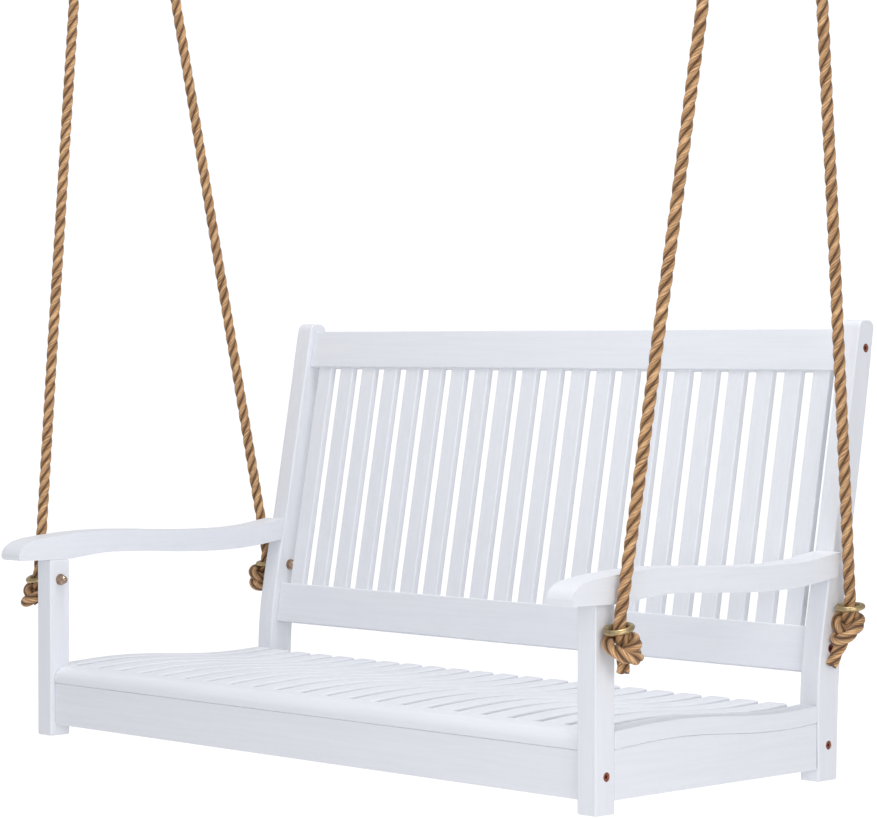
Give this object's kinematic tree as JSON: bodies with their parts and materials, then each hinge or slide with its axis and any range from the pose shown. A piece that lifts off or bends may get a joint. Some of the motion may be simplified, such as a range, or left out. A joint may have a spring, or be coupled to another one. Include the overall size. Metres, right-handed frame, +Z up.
{
  "type": "hanging porch swing seat",
  "caption": "Slatted white painted porch swing bench with contoured seat, raked back and scrolled arms, hung by natural fibre ropes from ceiling hooks.",
  "frame": {"origin": "on the ceiling, at the centre of the rectangle of the four hook studs", "axes": "+Z up, +Y towards the back of the bench, +X towards the right arm as seen from in front"},
  "size_m": [1.461, 0.6554, 1.475],
  "materials": {
    "white_paint": "satin white paint over hardwood",
    "rope": "three-strand natural fibre rope, laid",
    "yellow_zinc": "yellow zinc plated steel",
    "copper_plate": "antique copper plated steel",
    "galvanised_steel": "galvanised steel"
  },
  "bodies": {
    "ceiling": {"ceiling_hooks": "galvanised_steel", "ceiling_flanges": "galvanised_steel"},
    "front_ropes": {"rope_front_left": "rope", "rope_front_right": "rope", "splice_front_left": "rope", "splice_front_right": "rope", "knot_front_left": "rope", "knot_front_right": "rope", "thimbles_front": "galvanised_steel"},
    "bench": {"front_leg_left": "white_paint", "front_leg_right": "white_paint", "back_leg_left": "white_paint", "back_leg_right": "white_paint", "armrest_left": "white_paint", "armrest_right": "white_paint", "side_rail_left": "white_paint", "side_rail_right": "white_paint", "front_rail": "white_paint", "rear_rail": "white_paint", "seat_bearer_front": "white_paint", "seat_bearer_rear": "white_paint", "back_top_rail": "white_paint", "back_lower_rail": "white_paint", "seat_nosing": "white_paint", "seat_slats": "white_paint", "seat_end_left": "white_paint", "seat_end_right": "white_paint", "back_slat_01": "white_paint", "back_slat_02": "white_paint", "back_slat_03": "white_paint", "back_slat_04": "white_paint", "back_slat_05": "white_paint", "back_slat_06": "white_paint", "back_slat_07": "white_paint", "back_slat_08": "white_paint", "back_slat_09": "white_paint", "back_slat_10": "white_paint", "back_slat_11": "white_paint", "back_slat_12": "white_paint", "back_slat_13": "white_paint", "back_slat_14": "white_paint", "back_slat_15": "white_paint", "back_slat_16": "white_paint", "back_slat_17": "white_paint", "back_slat_18": "white_paint", "back_slat_19": "white_paint", "back_slat_20": "white_paint", "back_slat_21": "white_paint", "eye_bolts": "yellow_zinc", "eye_bolt_washers": "yellow_zinc", "dome_nuts": "copper_plate", "frame_bolts": "copper_plate", "barrel_nuts": "galvanised_steel"},
    "back_ropes": {"rope_back_left": "rope", "rope_back_right": "rope", "splice_back_left": "rope", "splice_back_right": "rope", "knot_back_left": "rope", "knot_back_right": "rope", "thimbles_back": "galvanised_steel"}
  },
  "joints": [
    {"name": "rope_swing", "type": "hinge", "parent": "ceiling", "child": "front_ropes", "pos_m": [0, -0.088, -0.065], "axis": [1, 0, 0], "range_deg": [-12, 12]},
    {"name": "bench_tilt", "type": "hinge", "parent": "front_ropes", "child": "bench", "pos_m": [0, -0.228, -1.165], "axis": [1, 0, 0], "range_deg": [-4.5, 4.5]},
    {"name": "back_rope_swing", "type": "hinge", "parent": "ceiling", "child": "back_ropes", "pos_m": [0, 0.088, -0.065], "axis": [1, 0, 0], "range_deg": [-12.2, 12.2]}
  ],
  "couplings": [
    {"joint": "bench_tilt", "follows": "rope_swing", "ratio": -0.3584},
    {"joint": "back_rope_swing", "follows": "rope_swing", "ratio": 1}
  ]
}
